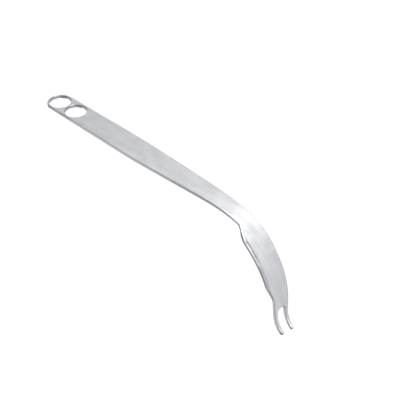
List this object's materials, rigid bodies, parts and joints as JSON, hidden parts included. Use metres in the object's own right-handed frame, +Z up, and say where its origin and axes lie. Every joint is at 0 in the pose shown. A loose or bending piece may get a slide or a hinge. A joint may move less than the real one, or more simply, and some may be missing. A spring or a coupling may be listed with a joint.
{
  "type": "handheld surgical retractor",
  "caption": "Steel strap retractor: tapering flat handle with finger holes, a curved blade with a turned-up wing along one side, and a forked tip.",
  "frame": {"origin": "middle of the bounding box, on the floor", "axes": "+X along the handle to its round end, +Z up across the strap to the wing side, -Y faces the handle's upper face"},
  "size_m": [0.2946, 0.0792, 0.027],
  "materials": {
    "satin_steel": "satin, fine even grain"
  },
  "bodies": {
    "root": {"retractor": "satin_steel"}
  },
  "joints": []
}
